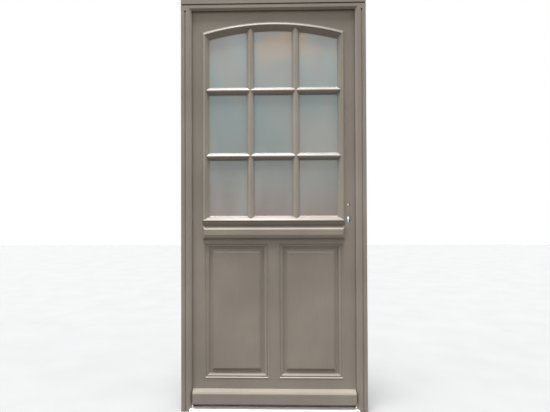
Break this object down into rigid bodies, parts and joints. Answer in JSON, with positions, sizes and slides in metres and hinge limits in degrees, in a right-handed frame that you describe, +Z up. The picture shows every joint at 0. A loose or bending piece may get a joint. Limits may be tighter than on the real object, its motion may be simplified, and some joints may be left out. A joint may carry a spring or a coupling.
{
  "type": "front door",
  "caption": "Half-glazed panelled front door with an arched light and glazing bars, hung in its wooden frame on a metal threshold; the leaf opens inwards.",
  "frame": {"origin": "Middle of the threshold's underside, in the plane of the frame's outer face.", "axes": "+Z up, +Y into the house, +X to the right seen from outside."},
  "size_m": [0.96, 0.105, 2.15],
  "materials": {
    "painted_wood": "satin taupe paint",
    "threshold_metal": "bright anodised",
    "cap_plastic": "moulded",
    "seal_rubber": "matt",
    "glass": "translucent, faintly hammered",
    "spacer_metal": "mill",
    "hinge_steel": "zinc plated",
    "lock_steel": "nickel plated"
  },
  "bodies": {
    "frame": {"frame_head": "painted_wood", "frame_jamb_hinge": "painted_wood", "frame_jamb_lock": "painted_wood", "frame_front_head": "painted_wood", "frame_front_hinge": "painted_wood", "frame_front_lock": "painted_wood", "threshold": "threshold_metal", "threshold_cap_lock": "cap_plastic", "threshold_cap_hinge": "cap_plastic", "frame_seal": "seal_rubber", "strike_plate": "lock_steel", "strike_screws": "lock_steel", "hinge_screws_frame": "hinge_steel", "hinge_frame_half_1": "hinge_steel", "hinge_frame_half_2": "hinge_steel", "hinge_frame_half_3": "hinge_steel", "hinge_pins": "hinge_steel"},
    "leaf": {"stile_hinge": "painted_wood", "stile_lock": "painted_wood", "bottom_rail": "painted_wood", "middle_rail": "painted_wood", "top_rail": "painted_wood", "mullion": "painted_wood", "panel_left": "painted_wood", "panel_right": "painted_wood", "drip_board": "painted_wood", "weatherboard": "painted_wood", "glazing_sill": "painted_wood", "glazing_moulding_arch": "painted_wood", "glazing_moulding_lock": "painted_wood", "glazing_moulding_hinge": "painted_wood", "bar_outer_vertical_left": "painted_wood", "bar_outer_vertical_right": "painted_wood", "bar_outer_level_lower": "painted_wood", "bar_outer_level_upper": "painted_wood", "bar_inner_vertical_left": "painted_wood", "bar_inner_vertical_right": "painted_wood", "bar_inner_level_lower": "painted_wood", "bar_inner_level_upper": "painted_wood", "leaf_bottom_seal": "seal_rubber", "glass_outer": "glass", "glass_inner": "glass", "glass_spacer": "spacer_metal", "hinge_leaf_half_1": "hinge_steel", "hinge_leaf_half_2": "hinge_steel", "hinge_leaf_half_3": "hinge_steel", "hinge_screws_leaf": "hinge_steel", "lock_case": "lock_steel", "lock_faceplate": "lock_steel", "lock_faceplate_screws": "lock_steel"},
    "follower": {"lock_follower": "lock_steel"},
    "latch": {"latch_bolt": "lock_steel"},
    "bolt": {"deadbolt": "lock_steel"}
  },
  "joints": [
    {"name": "leaf_hinge", "type": "hinge", "parent": "frame", "child": "leaf", "pos_m": [-0.4385, 0.084, 0], "axis": [0, 0, 1], "range_deg": [0, 110]},
    {"name": "follower_turn", "type": "hinge", "parent": "leaf", "child": "follower", "pos_m": [0.392, 0.049, 1.067], "axis": [0, 1, 0], "range_deg": [0, 30]},
    {"name": "latch_slide", "type": "slide", "parent": "leaf", "child": "latch", "axis": [1, 0, 0], "range_m": [0, 0.0105]},
    {"name": "bolt_slide", "type": "slide", "parent": "leaf", "child": "bolt", "axis": [1, 0, 0], "range_m": [0, 0.02]}
  ],
  "couplings": [
    {"joint": "follower_turn", "follows": "latch_slide", "rad_per_m": 49.866}
  ]
}
